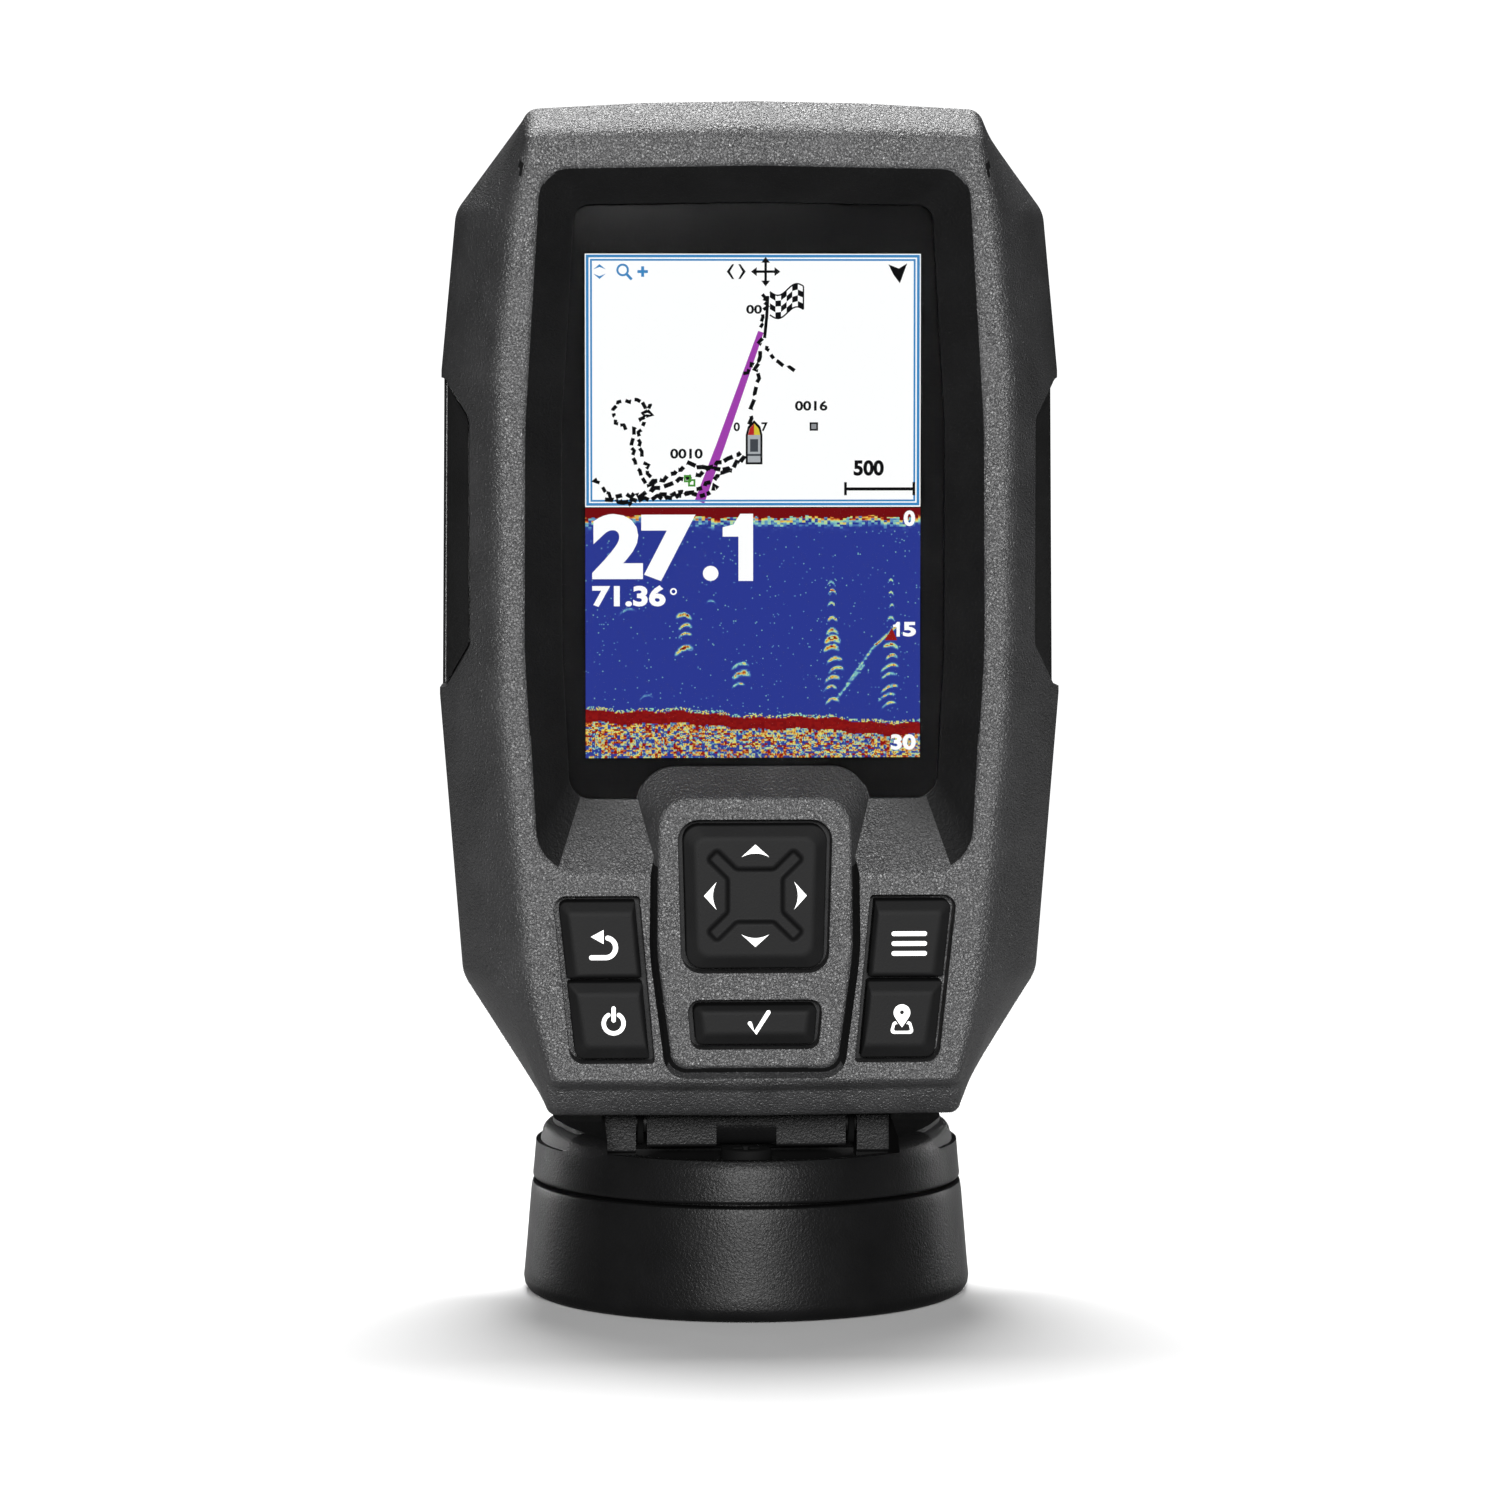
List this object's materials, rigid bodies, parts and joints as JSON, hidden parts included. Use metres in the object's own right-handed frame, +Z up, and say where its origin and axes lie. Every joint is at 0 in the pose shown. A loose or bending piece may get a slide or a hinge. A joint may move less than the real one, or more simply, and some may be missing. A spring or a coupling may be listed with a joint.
{
  "type": "fish finder",
  "caption": "Compact sonar display head with an upright screen and keypad, sliding onto a cradle that tilts and swivels on a round deck mount.",
  "frame": {"origin": "centre of the deck pad's underside, on the swivel axis", "axes": "+Z up along the swivel axis; +X to the right for someone facing the screen; the screen faces -Y"},
  "size_m": [0.0918, 0.0672, 0.1778],
  "materials": {
    "grey_casing": "fine moulded grain",
    "dark_casing": "fine moulded grain",
    "key_rubber": "satin",
    "lens": "clear with a black printed border",
    "display": "lit colour display",
    "diffuser": "diffuse",
    "rubber": "matt",
    "circuit_board": "solder mask",
    "tinned_steel": "satin",
    "steel": "stainless",
    "gold_contact": "plated",
    "ceramic": "fired"
  },
  "bodies": {
    "base": {"deck_pad": "rubber", "mount_base": "dark_casing", "swivel_bolt": "steel", "bolt_washer": "steel", "swivel_ring": "rubber"},
    "swivel": {"turret": "dark_casing", "hinge_pin": "steel", "hinge_washer_left": "rubber", "hinge_washer_right": "rubber"},
    "cradle": {"cradle": "dark_casing"},
    "head": {"front_case": "grey_casing", "rear_case": "dark_casing", "lens": "lens", "lens_tape": "rubber", "display_panel": "display", "backlight": "diffuser", "display_tray": "steel", "key_mat": "rubber", "dome_sheet": "steel", "key_board": "circuit_board", "main_board": "circuit_board", "sonar_shield": "tinned_steel", "processor_shield": "tinned_steel", "positioning_antenna": "ceramic", "beeper": "rubber", "socket_shell": "dark_casing", "socket_seal": "rubber", "case_seal": "rubber", "socket_contact_1": "gold_contact", "socket_contact_2": "gold_contact", "socket_contact_3": "gold_contact", "socket_contact_4": "gold_contact", "case_screw_1": "steel", "case_screw_2": "steel", "case_screw_3": "steel", "case_screw_4": "steel", "case_screw_5": "steel", "case_screw_6": "steel"},
    "four_way_rocker": {"four_way_pivot": "rubber"},
    "four_way_pad": {"four_way_key": "key_rubber"},
    "select": {"select_key": "key_rubber"},
    "back": {"back_key": "key_rubber"},
    "power": {"power_key": "key_rubber"},
    "menu": {"menu_key": "key_rubber"},
    "mark": {"mark_key": "key_rubber"}
  },
  "joints": [
    {"name": "swivel", "type": "hinge", "parent": "base", "child": "swivel", "pos_m": [0, 0, 0.017], "axis": [0, 0, 1], "continuous": true},
    {"name": "tilt", "type": "hinge", "parent": "swivel", "child": "cradle", "pos_m": [0, 0.003, 0.025], "axis": [-1, 0, 0], "range_deg": [-6, 35]},
    {"name": "lift_off", "type": "slide", "parent": "cradle", "child": "head", "axis": [0, 0, 1], "range_m": [0, 0.05]},
    {"name": "four_way_up_down", "type": "hinge", "parent": "head", "child": "four_way_rocker", "pos_m": [0, -0.0233, 0.0621], "axis": [1, 0, 0], "range_deg": [-2, 2], "stiffness_Nm_per_rad": 0.2},
    {"name": "four_way_left_right", "type": "hinge", "parent": "four_way_rocker", "child": "four_way_pad", "pos_m": [0, -0.0233, 0.0621], "axis": [0, 0, 1], "range_deg": [-2, 2], "stiffness_Nm_per_rad": 0.2},
    {"name": "select_press", "type": "slide", "parent": "head", "child": "select", "axis": [0, 1, 0], "range_m": [0, 0.0007], "stiffness_N_per_m": 1000, "springref_m": -0.0005},
    {"name": "back_press", "type": "slide", "parent": "head", "child": "back", "axis": [0, 1, 0], "range_m": [0, 0.0007], "stiffness_N_per_m": 1000, "springref_m": -0.0005},
    {"name": "power_press", "type": "slide", "parent": "head", "child": "power", "axis": [0, 1, 0], "range_m": [0, 0.0007], "stiffness_N_per_m": 1000, "springref_m": -0.0005},
    {"name": "menu_press", "type": "slide", "parent": "head", "child": "menu", "axis": [0, 1, 0], "range_m": [0, 0.0007], "stiffness_N_per_m": 1000, "springref_m": -0.0005},
    {"name": "mark_press", "type": "slide", "parent": "head", "child": "mark", "axis": [0, 1, 0], "range_m": [0, 0.0007], "stiffness_N_per_m": 1000, "springref_m": -0.0005}
  ]
}
